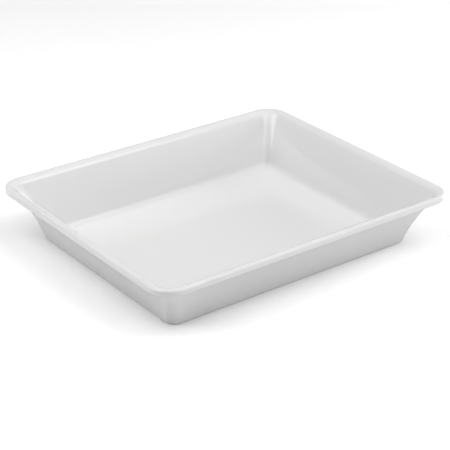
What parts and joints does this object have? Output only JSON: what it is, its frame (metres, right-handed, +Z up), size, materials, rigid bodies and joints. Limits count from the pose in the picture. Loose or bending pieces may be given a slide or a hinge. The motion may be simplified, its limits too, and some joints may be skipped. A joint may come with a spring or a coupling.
{
  "type": "developing tray",
  "caption": "Shallow rectangular tray with a flat floor, flared walls, rounded corners and a plain thick rim, for bathing sheets of photographic paper in developer.",
  "frame": {"origin": "centre of the flat underside, on the surface that the tray stands on", "axes": "+X along the tray's longer side, +Y along its shorter side, +Z up out of its open top"},
  "size_m": [0.326, 0.264, 0.052],
  "materials": {
    "tray_plastic": "opaque white moulded plastic with a smooth gloss"
  },
  "bodies": {
    "root": {"tray": "tray_plastic"}
  },
  "joints": []
}
